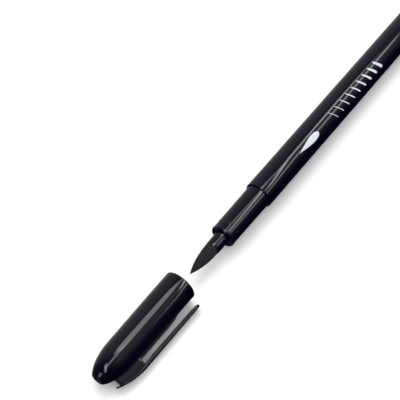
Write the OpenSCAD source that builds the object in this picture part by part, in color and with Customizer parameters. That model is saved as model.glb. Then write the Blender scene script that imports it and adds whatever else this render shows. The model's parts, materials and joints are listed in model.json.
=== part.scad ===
// Brush pen with a slip-on cap and a pocket clip, drawn in millimetres.
// The pen lies along X with its brush towards -X. The origin is on the axis, half way along the barrel.
// The cap lies off the pen, in line ahead of the brush, and slides along +X to close it.

/* [Barrel] */
// Outside diameter of the barrel
barrel_d = 10.5; // [9.8:0.1:14]
// Length of the barrel tube
barrel_len = 101; // [70:1:140]
// Wall of the barrel tube
barrel_wall = 1; // [0.8:0.1:1.4]
// Chamfer on the rims of the barrel
rim_chamfer = 0.2; // [0.1:0.05:0.4]

/* [End plug] */
// Length of the plug's head behind the barrel
plug_head_len = 4.6; // [3:0.1:10]
// Length of the plug's spigot inside the barrel
plug_spigot_len = 8; // [5:0.5:14]
// Radial step from the barrel down to the plug's head
plug_step = 0.35; // [0.3:0.05:0.6]

/* [Section] */
// Visible length of the front section
section_len = 21.2; // [16:0.1:34]
// Radial step from the barrel down to the section
section_step = 0.65; // [0.5:0.05:1]
// Radial taper of the section towards its front edge
section_taper = 0.175; // [0:0.025:0.4]
// Length of the section's spigot inside the barrel
section_spigot_len = 9; // [6:0.5:14]
// Width of the raised bead round the front edge
bead_w = 1.3; // [0.8:0.1:2]
// Height of the bead above the section
bead_h = 0.1; // [0.05:0.05:0.2]
// Depth of the recess in the front face
recess_depth = 0.8; // [0.5:0.1:2]
// Wall round the recess in the front face
recess_wall = 0.7; // [0.5:0.05:0.9]
// Number of snap nubs round the section
nub_count = 6; // [3:1:8]
// Distance of the nubs behind the front edge
nub_back = 4; // [3:0.1:8]
// Radius of each nub's ball
nub_r = 0.45; // [0.35:0.05:0.6]
// Height of each nub above the section
nub_h = 0.18; // [0.1:0.02:0.2]

/* [Brush and nose] */
// Visible length of the nose
nose_len = 5.8; // [4:0.1:10]
// Diameter of the nose at the section
nose_back_d = 5.4; // [5.2:0.1:5.9]
// Wall of the nose at its tip, round the brush
nose_lip = 0.12; // [0.08:0.02:0.3]
// Length of the nose's spigot inside the section
nose_spigot_len = 8.4; // [6:0.1:10]
// Width of the ledge that the nose's flange seats on
nose_ledge = 0.5; // [0.3:0.05:0.6]
// Diameter of the brush where it leaves the nose
brush_d = 4.95; // [4.2:0.05:5.1]
// Length of the brush ahead of the nose
brush_len = 12.5; // [9:0.1:15]
// Radial step from the brush down to its root inside the nose
root_step = 0.7; // [0.5:0.05:0.9]
// Diameter of the feed rod
feed_d = 1.8; // [1.4:0.1:2]

/* [Ink store] */
// Radial gap between the wrapped reservoir and the barrel's bore
store_gap = 0.6; // [0.4:0.05:1]
// Thickness of the film round the reservoir
film_t = 0.15; // [0.1:0.05:0.2]
// Outside diameter of the breather tube
breather_d = 1; // [0.8:0.1:1.2]
// Bore of the breather tube
breather_bore = 0.6; // [0.3:0.1:0.7]

/* [Cap] */
// Clear length between the brush's point and the liner's end when the cap is on
brush_clear = 1.9; // [1:0.1:8]
// Radial clearance between the cap's mouth and the back of the section
cap_clear = 0.2; // [0.15:0.05:0.5]
// Radial taper of the cap from its mouth to its rounded end
cap_taper = 0.275; // [0.1:0.025:0.3]
// Length of the rounded closed end
dome_len = 12; // [10:0.5:14]
// Wall of the cap
cap_wall = 1.1; // [0.9:0.05:1.2]
// Thickness of the cap's closed end
cap_end_wall = 2; // [1.5:0.1:3]
// Wall of the inner liner
liner_wall = 0.6; // [0.5:0.05:0.8]
// Distance of the liner's rim inside the section's front edge
liner_inset = 0.25; // [0.15:0.05:0.5]
// Gap between the brush and the cap's mouth when the cap is off
cap_off_gap = 5; // [2:0.5:20]

/* [Clip] */
// Width of the clip
clip_w = 3.4; // [2.6:0.1:4.5]
// Thickness of the clip
clip_t = 1.5; // [1.2:0.1:2]
// Gap between the cap's mouth and the clip
clip_gap = 2.2; // [1.6:0.1:4]
// Length from the closed end to the clip's tail
clip_tail_inset = 2.5; // [1:0.1:4]
// Length from the closed end to the front of the foot
foot_front = 15; // [12:0.5:20]
// Length from the closed end to the back of the foot
foot_back = 4.2; // [3.5:0.1:6]
// Width of the foot that carries the clip
foot_w = 2.4; // [2:0.1:3]
// Radius of the clip's curved back
clip_back_r = 28; // [20:1:40]
// Clear length between the clip's free end and the mouth
clip_end_inset = 0.8; // [0.4:0.1:4]

/* [Hidden] */
$fn = 96;

over = 1;             // how far a cutter runs past what it cuts
running_gap = 0.05;   // radial clearance of the ball in the brush and of the clip's knuckle
seat_gap = 0.02;      // radial clearance of pieces pushed together by hand
stop_gap = 0.1;       // what is left between the cap and its stops when it is on
dome_steps = 16;      // steps in a curved outline

// Diameters that fit in or over each other
barrel_bore = barrel_d - 2 * barrel_wall;
film_d = barrel_bore - 2 * store_gap;
reservoir_d = film_d - 2 * film_t;
section_back_d = barrel_d - 2 * section_step;
section_front_d = section_back_d - 2 * section_taper;
recess_d = section_front_d - 2 * recess_wall;
nose_spigot_d = recess_d - 2 * nose_ledge;
nose_front_d = brush_d + 2 * nose_lip;
root_d = brush_d - 2 * root_step;

// Stations along the axis
rim_x = -barrel_len / 2;
tail_x = barrel_len / 2;
front_x = rim_x - section_len;
nose_tip_x = front_x - nose_len;
tip_x = nose_tip_x - brush_len;
mouth_x = tip_x - cap_off_gap;

// Barrel and ink store
rib_w = 0.6;
rib_count = 4;
rib_clear = 4;        // length left free of ribs at each end of the store
rib_sink = barrel_wall / 3;  // how far a rib runs into the barrel's wall
store_front = rim_x + section_spigot_len + 1;
store_back = tail_x - plug_spigot_len;
feed_sink = 5;        // depth of the feed rod in the reservoir
breather_r = reservoir_d / 2 - breather_d / 2 - seat_gap;
breather_out = 0.6;   // how far the breather tube stands out of the reservoir at each end

// End plug
plug_head_r = barrel_d / 2 - plug_step;
plug_dome = 1.4;      // length of the plug's rounded end
plug_crown_r = 0.72 * plug_head_r;
plug_wall = 0.9;
plug_floor = 2;       // thickness of the plug's end inside the barrel

// Section and nose
spigot_wall = 0.8;
seat_x = front_x + recess_depth;
nose_flange_len = 0.5;
nose_bore = root_d + 2 * seat_gap;
nose_edge = 0.1;      // radial rounding of the nose's tip
nose_edge_len = 0.15;
collar_len = 3;
collar_wall = 0.65;   // wall of the nose round the collar
collar_d = nose_spigot_d - 2 * collar_wall;
collar_sink = 3.6;    // from the nose's seat to the collar
collar_front = seat_x + collar_sink;
root_out = 0.6;       // length of the brush's root behind the collar
root_back = collar_front + collar_len + root_out;
rod_grip = 3.4;       // length of the feed rod inside the brush's root
feed_gap = 0.6;       // radial room round the feed rod in the section
feed_room = feed_d + 2 * feed_gap;

// Brush
brush_r = brush_d / 2;
brush_gap = 0.55;     // clear length between the nose and the brush's moving tip
ball_cover = 0.5;     // wall of the brush round the ball it turns on
ball_r = brush_r - ball_cover;
ball_sink = 0.75;     // depth of the ball's middle inside the brush, in ball radii
neck_d = 1.2 * ball_r;
pivot_x = nose_tip_x - brush_gap - ball_r * ball_sink;
flare = 0.4;          // how much the brush's mouth widens over its depth
brush_power = 2.1;    // how full the brush's outline is
point_r = 0.12;       // radius of the brush's point

// Cap
cap_len = section_len + nose_len + brush_len + brush_clear + liner_wall + cap_end_wall;
cavity_mouth_r = section_back_d / 2 + cap_clear;
mouth_r = cavity_mouth_r + cap_wall;
shoulder_r = mouth_r - cap_taper;
shoulder_d = cap_len - dome_len;
dome_blunt = 1;       // length that the blunt end cuts off the dome
dome_full = dome_len + dome_blunt;
lip_chamfer = 0.15;
end_chamfer = 0.3;
cavity_r = shoulder_r - cap_wall;
cavity_full = dome_len;
cavity_len = cap_len - cap_end_wall;
snap_ring_h = 0.1;
snap_ring_w = 0.8;
snap_lead = 0.6;      // from the nubs to the snap ring's ramp
snap_d = section_len - nub_back - snap_ring_w - snap_lead;
liner_r = section_front_d / 2 - liner_inset;
liner_edge = 0.2;     // chamfer on the liner's rim
liner_front = section_len + stop_gap;
liner_turn = shoulder_d + cavity_full * sqrt(1 - pow((liner_r + seat_gap) / cavity_r, 2));

// Clip, measured from the cap's mouth towards its closed end
clip_reach = mouth_r + clip_gap + clip_t;
// The clip is rolled down until its edge is level with the underside of the mouth
clip_roll = asin(mouth_r / norm([clip_reach, clip_w / 2])) - atan2(clip_w / 2, clip_reach);
clip_mid_r = clip_reach - clip_t / 2;
hinge_ahead = 0.9;    // from the foot's front to the place where the clip flexes
hinge_d = cap_len - foot_front - hinge_ahead;
curve_behind = 0.4;   // from the foot's front to the start of the clip's curved back
clip_turn_d = cap_len - foot_front + curve_behind;
clip_tail_d = cap_len - clip_tail_inset;
clip_tip_t = 1.1;     // thickness of the clip at its free end
tail_t = 0.7;         // thickness of the clip at its tail
tenon_w = 1.1;        // tenon that keys the clip into its foot
tenon_from = 1.5;     // from the front of the foot to the tenon
tenon_len = 6;
tenon_top_r = clip_reach - clip_t;
tenon_h = 1.8;
tenon_foot_r = tenon_top_r - tenon_h;
ridge_w = 1.6;
ridge_h = 0.6;
ridge_front = 9;

// Turns an outline of [place along X, radius] points about the X axis.
module turned(points) {
    rotate([0, 90, 0])
        rotate_extrude()
            polygon([for (p = points) [p[1], p[0]]]);
}

// A rod along X from one place to another.
module rod(d, from, to) {
    translate([from, 0, 0])
        rotate([0, 90, 0])
            cylinder(d = d, h = to - from);
}

// Half width of an elliptical dome of radius r, this far past its start, with the length it would have if complete.
function dome_r(r, past, full) = r * sqrt(1 - pow(past / full, 2));

module barrel() {
    color([0.02, 0.02, 0.03]) {
        turned([
            [rim_x, barrel_bore / 2],
            [rim_x, barrel_d / 2 - rim_chamfer],
            [rim_x + rim_chamfer, barrel_d / 2],
            [tail_x - rim_chamfer, barrel_d / 2],
            [tail_x, barrel_d / 2 - rim_chamfer],
            [tail_x, barrel_bore / 2]
        ]);
        // Ribs that hold the reservoir in the middle of the bore
        for (i = [0 : rib_count - 1])
            rotate([360 * i / rib_count, 0, 0])
                translate([store_front + rib_clear, -rib_w / 2, film_d / 2 + seat_gap])
                    cube([store_back - store_front - 2 * rib_clear, rib_w,
                          (barrel_bore - film_d) / 2 + rib_sink]);
    }
}

module end_plug() {
    spigot_r = barrel_bore / 2 - seat_gap;
    color([0.02, 0.02, 0.03])
        turned(concat(
            [[store_back, 0], [store_back, film_d / 2 - plug_wall],
             [tail_x - plug_floor, film_d / 2 - plug_wall], [tail_x - plug_floor, 0]],
            [[tail_x + plug_head_len, 0]],
            [for (i = [0 : 8])
                let (a = 90 * i / 8)
                [tail_x + plug_head_len - plug_dome * (1 - cos(a)),
                 plug_crown_r + (plug_head_r - plug_crown_r) * sin(a)]],
            [[tail_x, plug_head_r], [tail_x, spigot_r],
             [store_back + rim_chamfer, spigot_r], [store_back, spigot_r - rim_chamfer]],
            [[store_back, 0]]
        ));
}

module section() {
    spigot_r = barrel_bore / 2 - seat_gap;
    slope = (section_back_d - section_front_d) / 2 / section_len;
    nub_x = front_x + nub_back;
    nub_centre = section_front_d / 2 + slope * nub_back + nub_h - nub_r;
    color([0.02, 0.02, 0.03]) {
        difference() {
            turned([
                [front_x, 0],
                [front_x, section_front_d / 2 - bead_h],
                [front_x + bead_w * 0.15, section_front_d / 2 + bead_h * 0.6],
                [front_x + bead_w * 0.5, section_front_d / 2 + bead_h],
                [front_x + bead_w * 0.85, section_front_d / 2 + bead_h * 0.6],
                [front_x + bead_w, section_front_d / 2 + slope * bead_w],
                [rim_x, section_back_d / 2],
                [rim_x, spigot_r],
                [rim_x + section_spigot_len - rim_chamfer, spigot_r],
                [rim_x + section_spigot_len, spigot_r - rim_chamfer],
                [rim_x + section_spigot_len, 0]
            ]);
            rod(recess_d, front_x - over, seat_x);
            rod(nose_spigot_d + 2 * seat_gap, front_x, seat_x + nose_spigot_len);
            rod(feed_room, front_x, rim_x + section_spigot_len + over);
            rod(barrel_bore - 2 * spigot_wall, rim_x, rim_x + section_spigot_len + over);
        }
        for (i = [0 : nub_count - 1])
            rotate([360 * i / nub_count, 0, 0])
                translate([nub_x, 0, nub_centre])
                    sphere(r = nub_r);
    }
}

module nose_cone() {
    color([0.02, 0.02, 0.03])
        difference() {
            turned([
                [nose_tip_x, 0],
                [nose_tip_x, nose_front_d / 2 - nose_edge],
                [nose_tip_x + nose_edge_len, nose_front_d / 2],
                [seat_x - nose_flange_len, nose_back_d / 2],
                [seat_x - nose_flange_len, recess_d / 2 - seat_gap],
                [seat_x, recess_d / 2 - seat_gap],
                [seat_x, nose_spigot_d / 2],
                [seat_x + nose_spigot_len, nose_spigot_d / 2],
                [seat_x + nose_spigot_len, 0]
            ]);
            rod(nose_bore, nose_tip_x - over, collar_front);
            rod(collar_d, collar_front, seat_x + nose_spigot_len + over);
        }
}

module nib_collar() {
    color([0.75, 0.75, 0.72])
        difference() {
            rod(collar_d - 2 * seat_gap, collar_front, collar_front + collar_len);
            rod(nose_bore, collar_front - over, collar_front + collar_len + over);
        }
}

module brush_root() {
    color([0.1, 0.1, 0.11])
        difference() {
            union() {
                rod(root_d, nose_tip_x, root_back);
                rod(neck_d, pivot_x, nose_tip_x + over);
                translate([pivot_x, 0, 0])
                    sphere(r = ball_r);
            }
            rod(feed_d + 2 * seat_gap, root_back - rod_grip, root_back + over);
        }
}

module brush_tip() {
    back_x = nose_tip_x - brush_gap;
    tip_len = back_x - tip_x;
    color([0.1, 0.1, 0.11])
        difference() {
            turned(concat(
                [[back_x, 0]],
                [for (i = [0 : dome_steps])
                    let (s = i / dome_steps)
                    [back_x - s * tip_len, point_r + (brush_r - point_r) * (1 - pow(s, brush_power))]],
                [[tip_x, 0]]
            ));
            translate([pivot_x, 0, 0])
                sphere(r = ball_r + running_gap);
            // Flared mouth that lets the brush swing on its root
            turned([
                [back_x + over, 0],
                [back_x + over, ball_r + over * flare],
                [back_x, ball_r + running_gap],
                [pivot_x, ball_r * ball_sink],
                [pivot_x, 0]
            ]);
        }
}

module feed_rod() {
    color([0.85, 0.85, 0.82])
        rod(feed_d, root_back - rod_grip, store_front + feed_sink);
}

module breather_place(from, to, d) {
    translate([0, 0, breather_r])
        rod(d, from, to);
}

module ink_reservoir() {
    color([0.08, 0.08, 0.1])
        difference() {
            rod(reservoir_d, store_front, store_back);
            rod(feed_d + 2 * seat_gap, store_front - over, store_front + feed_sink);
            breather_place(store_front - over, store_back + over, breather_d + 2 * seat_gap);
            // Slot that opens the breather's groove to the film
            translate([store_front - over, -breather_d / 4, breather_r])
                cube([store_back - store_front + 2 * over, breather_d / 2, reservoir_d]);
        }
}

module reservoir_film() {
    color([0.85, 0.87, 0.9, 0.4])
        difference() {
            rod(film_d, store_front, store_back);
            rod(reservoir_d, store_front - over, store_back + over);
        }
}

module breather_tube() {
    color([0.9, 0.9, 0.9])
        difference() {
            breather_place(store_front - breather_out, store_back - seat_gap, breather_d);
            breather_place(store_front - breather_out - over, store_back + over, breather_bore);
        }
}

// Puts a cap piece, drawn with its mouth at 0 and its clip towards -Y, where the cap lies.
module cap_place() {
    translate([mouth_x, 0, 0])
        rotate([clip_roll, 0, 0])
            children();
}

// The cap's outer outline, from its mouth to its closed end.
function cap_outline() = concat(
    [[0, mouth_r - lip_chamfer], [-lip_chamfer, mouth_r]],
    [for (i = [0 : dome_steps])
        let (past = (dome_len - end_chamfer) * sin(90 * i / dome_steps))
        [-shoulder_d - past, dome_r(shoulder_r, past, dome_full)]],
    [[-cap_len, dome_r(shoulder_r, dome_len, dome_full) - end_chamfer]]
);

// Solid of the cap's outside, for fitting the foot to it.
module cap_blank() {
    turned(concat([[0, 0]], cap_outline(), [[-cap_len, 0]]));
}

// A block on the clip side of the cap, between two lengths from the mouth and between two radii.
module clip_side_block(from, to, low, high, w) {
    translate([-to, -high, -w / 2])
        cube([to - from, high - low, w]);
}

// The tenon under the clip, or with a clearance the slot that takes it.
module tenon(clear) {
    front = cap_len - foot_front + tenon_from;
    clip_side_block(front - clear, front + tenon_len + clear, tenon_foot_r - clear, tenon_top_r,
                    tenon_w + 2 * clear);
}

// Side outline of the clip's curved back, this far in from its outer face.
function back_curve(inset) = [
    for (i = [0 : dome_steps])
        let (d = clip_turn_d + (clip_tail_d - clip_turn_d) * i / dome_steps)
        [-d, -(clip_reach - inset * (1 - i / dome_steps) - (inset > 0 ? tail_t * i / dome_steps : 0)
               - clip_back_r + sqrt(pow(clip_back_r, 2) - pow(d - clip_turn_d, 2)))]
];

module cap_shell() {
    color([0.02, 0.02, 0.03])
        difference() {
            union() {
                cap_blank();
                // Foot that carries the clip
                difference() {
                    clip_side_block(cap_len - foot_front, cap_len - foot_back, 0, clip_reach, foot_w);
                    translate([0, 0, -over - foot_w / 2])
                        linear_extrude(height = foot_w + 2 * over)
                            polygon(concat(
                                [[-clip_turn_d + 2 * over, -clip_reach + clip_t]],
                                back_curve(clip_t),
                                [[-cap_len - over, -clip_reach / 2], [-cap_len - over, -clip_reach - over],
                                 [-clip_turn_d + 2 * over, -clip_reach - over]]
                            ));
                }
                // Ridge under the clip
                clip_side_block(ridge_front, cap_len - foot_front + 1, 0, mouth_r + ridge_h, ridge_w);
            }
            // Cavity, which narrows to the liner's seat
            turned(concat(
                [[over, 0], [over, cavity_mouth_r], [0, cavity_mouth_r],
                 [-snap_d + snap_ring_w, cavity_mouth_r],
                 [-snap_d, cavity_mouth_r - snap_ring_h],
                 [-snap_d - snap_ring_w, cavity_mouth_r - seat_gap]],
                [for (i = [0 : dome_steps])
                    let (past = (cavity_len - shoulder_d) * i / dome_steps)
                    [-shoulder_d - past, dome_r(cavity_r, past, cavity_full)]],
                [[-cavity_len, 0]]
            ));
            tenon(seat_gap);
        }
}

module cap_liner() {
    dome_past = liner_turn - shoulder_d;
    end_past = cavity_len - shoulder_d;
    color([0.08, 0.08, 0.09])
        turned(concat(
            [[-liner_front, liner_r - liner_wall], [-liner_front, liner_r - liner_edge],
             [-liner_front - liner_edge, liner_r]],
            [for (i = [0 : dome_steps])
                let (past = dome_past + (end_past - dome_past) * i / dome_steps)
                [-shoulder_d - past, dome_r(cavity_r, past, cavity_full) - seat_gap]],
            [[-cavity_len, 0], [-cavity_len + liner_wall, 0]],
            [for (i = [dome_steps : -1 : 0])
                let (past = dome_past + (end_past - liner_wall - dome_past) * i / dome_steps)
                [-shoulder_d - past, dome_r(cavity_r, past, cavity_full) - seat_gap - liner_wall]]
        ));
}

module knuckle(r) {
    translate([-hinge_d, -clip_mid_r, -clip_w / 2 - over])
        cylinder(r = r, h = clip_w + 2 * over);
}

module clip_root() {
    color([0.02, 0.02, 0.03]) {
        difference() {
            translate([0, 0, -clip_w / 2])
                linear_extrude(height = clip_w)
                    polygon(concat(
                        [[-hinge_d, -clip_reach + clip_t], [-hinge_d, -clip_reach]],
                        back_curve(0),
                        [for (i = [dome_steps : -1 : 0]) back_curve(clip_t)[i]]
                    ));
            knuckle(clip_t / 2 + running_gap);
        }
        tenon(0);
    }
}

module clip_arm() {
    color([0.02, 0.02, 0.03]) {
        intersection() {
            knuckle(clip_t / 2);
            clip_side_block(0, cap_len, 0, clip_reach + over, clip_w);
        }
        intersection() {
            translate([0, 0, -clip_w / 2])
                linear_extrude(height = clip_w)
                    polygon([
                        [-hinge_d, -clip_reach + clip_t], [-hinge_d, -clip_reach],
                        [-clip_end_inset, -clip_reach],
                        [-clip_end_inset, -clip_reach + clip_tip_t]
                    ]);
            // Rounded free end
            rotate([90, 0, 0])
                linear_extrude(height = clip_reach + over) {
                    translate([-clip_end_inset - clip_w / 2, 0])
                        circle(d = clip_w);
                    translate([-cap_len, -clip_w / 2])
                        square([cap_len - clip_end_inset - clip_w / 2, clip_w]);
                }
        }
    }
}

barrel();
end_plug();
section();
nose_cone();
nib_collar();
brush_root();
brush_tip();
feed_rod();
ink_reservoir();
reservoir_film();
breather_tube();
cap_place() cap_shell();
cap_place() cap_liner();
cap_place() clip_root();
cap_place() clip_arm();
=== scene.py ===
"""A brush pen with its cap off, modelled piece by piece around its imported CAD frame."""

import json
import math

import bpy
from mathutils import Matrix, Vector


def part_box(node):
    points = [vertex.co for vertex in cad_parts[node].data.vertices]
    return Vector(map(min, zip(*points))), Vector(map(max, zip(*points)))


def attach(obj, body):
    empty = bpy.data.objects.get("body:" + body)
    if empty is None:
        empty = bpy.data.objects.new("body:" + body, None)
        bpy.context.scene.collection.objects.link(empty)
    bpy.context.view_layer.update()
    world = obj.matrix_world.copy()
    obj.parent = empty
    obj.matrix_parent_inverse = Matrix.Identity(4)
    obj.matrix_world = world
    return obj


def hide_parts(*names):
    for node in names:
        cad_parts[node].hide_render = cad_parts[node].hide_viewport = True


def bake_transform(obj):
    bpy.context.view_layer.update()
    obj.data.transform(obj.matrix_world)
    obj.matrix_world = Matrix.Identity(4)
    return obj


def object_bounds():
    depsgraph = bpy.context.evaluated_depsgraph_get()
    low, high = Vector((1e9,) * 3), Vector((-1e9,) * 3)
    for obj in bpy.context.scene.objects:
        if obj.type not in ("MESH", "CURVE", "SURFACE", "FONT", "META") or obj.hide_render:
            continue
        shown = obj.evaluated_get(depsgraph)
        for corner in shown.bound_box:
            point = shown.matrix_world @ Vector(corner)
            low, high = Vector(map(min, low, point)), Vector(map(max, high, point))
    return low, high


bl_info = {
    "name": "Brush Pen Bench",
    "version": (1, 0, 0),
    "blender": (4, 5, 0),
    "location": "View3D > Sidebar > Brush Pen",
    "description": "Models a gloss black brush pen, its brush, its cap and its clip",
    "category": "Object",
}

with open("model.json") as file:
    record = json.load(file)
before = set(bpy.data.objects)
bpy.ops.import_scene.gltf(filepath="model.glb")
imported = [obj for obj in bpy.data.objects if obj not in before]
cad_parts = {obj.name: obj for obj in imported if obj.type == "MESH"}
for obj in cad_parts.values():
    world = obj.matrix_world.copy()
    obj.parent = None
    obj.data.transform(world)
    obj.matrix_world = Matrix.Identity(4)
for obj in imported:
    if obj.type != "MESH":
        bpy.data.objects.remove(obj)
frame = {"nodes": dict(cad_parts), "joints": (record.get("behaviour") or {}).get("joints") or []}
CAD_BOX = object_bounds()
MM = 0.001
GAP = 0.02 * MM  # Between pieces that fit into each other
NEAR_AXIS = 0.0001 * MM
FACETS = 144  # Round the larger pieces
SPIGOT_WALL = 0.8 * MM  # Of the section's back, inside the barrel
FEED_BORE_R = 1.5 * MM  # Of the hole through the section

# Stations along the pen and the main radii, all read from the frame
RIM_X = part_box("barrel")[0].x
TAIL_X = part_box("barrel")[1].x
BARREL_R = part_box("barrel")[1].z
PLUG_END_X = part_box("end_plug")[1].x
PLUG_FRONT_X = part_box("end_plug")[0].x
FRONT_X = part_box("section")[0].x
SPIGOT_END_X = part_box("section")[1].x
SECTION_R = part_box("section")[1].z
NOSE_TIP_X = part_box("nose_cone")[0].x
NOSE_BACK_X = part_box("nose_cone")[1].x
FLANGE_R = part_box("nose_cone")[1].z
ROOT_BACK_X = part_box("brush_root")[1].x
ROOT_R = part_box("brush_root")[1].z
POINT_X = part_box("brush_tip")[0].x
BRUSH_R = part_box("brush_tip")[1].z
COLLAR_FRONT_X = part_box("nib_collar")[0].x
COLLAR_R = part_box("nib_collar")[1].z
MOUTH_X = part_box("cap_shell")[1].x
CLOSED_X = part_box("cap_shell")[0].x
MOUTH_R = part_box("cap_shell")[1].z
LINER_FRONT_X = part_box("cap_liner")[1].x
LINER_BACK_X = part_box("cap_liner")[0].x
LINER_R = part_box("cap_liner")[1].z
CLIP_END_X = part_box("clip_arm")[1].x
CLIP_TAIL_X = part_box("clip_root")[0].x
FLOOR_Z = CAD_BOX[0][2]
HINGES = {joint["name"]: joint for joint in frame["joints"]}
CLIP_HINGE = Vector(HINGES["clip_flex"]["pos_m"])
CLIP_AXIS = Vector(HINGES["clip_flex"]["axis"])
CLIP_ROLL = math.atan2(CLIP_AXIS.y, -CLIP_AXIS.z)
CLIP_MIDDLE_R = math.hypot(CLIP_HINGE.y, CLIP_HINGE.z)


def number(name, about, value, **limits):
    """A plain number property."""
    return bpy.props.FloatProperty(name=name, description=about, default=value, **limits)


def length(name, about, millimetres):
    """A size property given in millimetres, kept in metres and shown as a distance."""
    return number(name, about, millimetres * MM, subtype="DISTANCE", unit="LENGTH", precision=5)


def angle(name, about, degrees):
    """An angle property given in degrees."""
    return number(name, about, math.radians(degrees), subtype="ANGLE", unit="ROTATION")


def count(name, about, value):
    """A property that counts pieces."""
    return bpy.props.IntProperty(name=name, description=about, default=value, min=2)


def colour(name, about, value):
    """A colour property."""
    return bpy.props.FloatVectorProperty(
        name=name, description=about, default=value, subtype="COLOR", size=3, min=0.0, max=1.0
    )


class BarrelSizes(bpy.types.PropertyGroup):
    wall: length("Wall", "Wall of the barrel tube", 1.0)
    rim_radius: length("Rim radius", "Rounding of the barrel's rims", 0.25)
    plug_step: length("Plug step", "Radial step from the barrel to the plug's head", 0.35)
    plug_rounding: length("Plug rounding", "Rounding of the plug's end", 1.3)
    rib_width: length("Rib width", "Width of the ribs inside the barrel", 0.6)
    rib_count: count("Ribs", "Ribs inside the barrel", 4)


class SectionSizes(bpy.types.PropertyGroup):
    taper: length("Taper", "Radial taper of the section towards its front", 0.175)
    bead_width: length("Bead width", "Width of the raised bead at the front edge", 1.3)
    bead_height: length("Bead height", "Height of the bead above the section", 0.1)
    recess_depth: length("Recess depth", "Depth of the recess in the front face", 0.8)
    nub_back: length("Nub place", "Distance of the snap nubs behind the front edge", 4.0)
    nub_length: length("Nub length", "Length of each snap nub", 1.1)
    nub_height: length("Nub height", "Height of each nub above the section", 0.18)
    nub_count: count("Nubs", "Snap nubs round the section", 6)
    nose_back_r: length("Nose back", "Radius of the nose at the section", 2.7)
    nose_lip: length("Nose lip", "Wall of the nose round the brush", 0.12)


class BrushSizes(bpy.types.PropertyGroup):
    fullness: number("Fullness", "How full the brush's outline is", 2.15, min=1.0, max=3.0)
    point_radius: length("Point radius", "Radius of the brush's point", 0.12)
    fibre_depth: length("Fibre depth", "Depth of the grooves between the tufts of fibre", 0.016)
    fibre_count: count("Tufts", "Tufts of fibre round the brush", 36)


class CapSizes(bpy.types.PropertyGroup):
    dome_length: length("Dome", "Length of the rounded closed end", 12.0)
    taper: length("Taper", "Radial taper from the mouth to the dome", 0.275)
    wall: length("Wall", "Wall of the cap", 1.1)
    end_wall: length("End wall", "Thickness of the closed end", 2.0)
    lip_radius: length("Lip radius", "Rounding of the cap's lip", 0.3)
    end_radius: length("End radius", "Rounding round the blunt end", 0.55)
    liner_wall: length("Liner wall", "Wall of the inner liner", 0.6)


class ClipSizes(bpy.types.PropertyGroup):
    width: length("Width", "Width of the clip", 3.4)
    thickness: length("Thickness", "Thickness of the clip", 1.5)
    tip_thickness: length("Tip", "Thickness of the clip's free end", 1.1)
    tail_thickness: length("Tail", "Thickness of the clip's tail", 0.7)
    back_radius: length("Back radius", "Radius of the clip's curved back", 28.0)
    edge_radius: length("Edge radius", "Rounding of the clip's edges", 0.62)
    foot_front: length("Foot front", "From the closed end to the front of the foot", 15.0)
    foot_back: length("Foot back", "From the closed end to the back of the foot", 4.2)
    foot_width: length("Foot width", "Width of the foot", 2.4)
    groove_depth: length("Groove", "Depth of the groove in the clip's inner face", 0.3)
    ridge_width: length("Ridge width", "Width of the ridge under the clip", 1.5)
    ridge_height: length("Ridge height", "Height of the ridge above the mouth's radius", 0.55)
    ridge_front: length("Ridge front", "From the mouth to the ridge", 9.0)


class PrintSizes(bpy.types.PropertyGroup):
    drop_length: length("Drop length", "Length of the printed ink drop", 12.0)
    drop_width: length("Drop width", "Width of the printed ink drop", 2.9)
    drop_back: length("Drop place", "From the barrel's rim to the drop's middle", 26.5)
    film: length("Print film", "Thickness of the printed ink", 0.012)
    turn: angle("Turn", "Where the print lies round the barrel, up from the clip's side", 57.0)
    stroke_count: count("Strokes", "Printed sample strokes", 9)
    first_stroke: length("First stroke", "From the barrel's rim to the first stroke", 42.0)
    stroke_pitch: length("Pitch", "From one stroke to the next", 3.6)
    stroke_length: length("Stroke length", "Length of a stroke", 4.6)
    thinnest: length("Thinnest", "Width of the finest stroke", 0.28)
    boldest: length("Boldest", "Width of the boldest stroke", 1.3)


class Finishes(bpy.types.PropertyGroup):
    black: colour("Gloss black", "Moulded black plastic", (0.0009, 0.0004, 0.0058))
    fibre: colour("Brush fibre", "Dry parts of the brush", (0.0125, 0.0130, 0.0180))
    fibre_inked: colour("Inked fibre", "Ink-stained parts of the brush", (0.0045, 0.0047, 0.0080))
    print_ink: colour("Print", "Printed marks on the barrel", (0.60, 0.63, 0.70))
    milky: colour("Milky plastic", "Unpigmented moulded plastic", (0.74, 0.74, 0.70))
    liner: colour("Liner", "Dark soft plastic of the liner", (0.012, 0.012, 0.016))
    store: colour("Ink store", "Fibre soaked in ink", (0.010, 0.010, 0.016))
    rod: colour("Feed rod", "Bonded fibre of the feed rod", (0.055, 0.055, 0.075))
    film: colour("Film", "Clear film round the reservoir", (0.86, 0.88, 0.90))
    paper: colour("Floor", "Pale floor", (0.93, 0.93, 0.935))


class StudioSettings(bpy.types.PropertyGroup):
    lens: number("Lens", "Focal length in millimetres", 126.0, min=10.0)
    azimuth: angle("Azimuth", "Turn of the view from +Y", -52.95)
    elevation: angle("Elevation", "Height of the view", 57.1)
    distance: length("Distance", "From the camera to the plane through the barrel's rim", 488.0)
    slide_right: length("Slide", "How far the rim lies right of the view's middle", 20.35)
    slide_up: length("Rise", "How far the rim lies above the view's middle", 1.5)
    sky: number("Sky", "Strength of the soft light all round", 1.15, min=0.0)
    key: number("Key", "Power of the overhead softbox in watts", 2.2, min=0.0)


class BrushPenSettings(bpy.types.PropertyGroup):
    barrel: bpy.props.PointerProperty(type=BarrelSizes)
    section: bpy.props.PointerProperty(type=SectionSizes)
    brush: bpy.props.PointerProperty(type=BrushSizes)
    cap: bpy.props.PointerProperty(type=CapSizes)
    clip: bpy.props.PointerProperty(type=ClipSizes)
    marks: bpy.props.PointerProperty(type=PrintSizes)
    finishes: bpy.props.PointerProperty(type=Finishes)
    studio: bpy.props.PointerProperty(type=StudioSettings)


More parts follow.
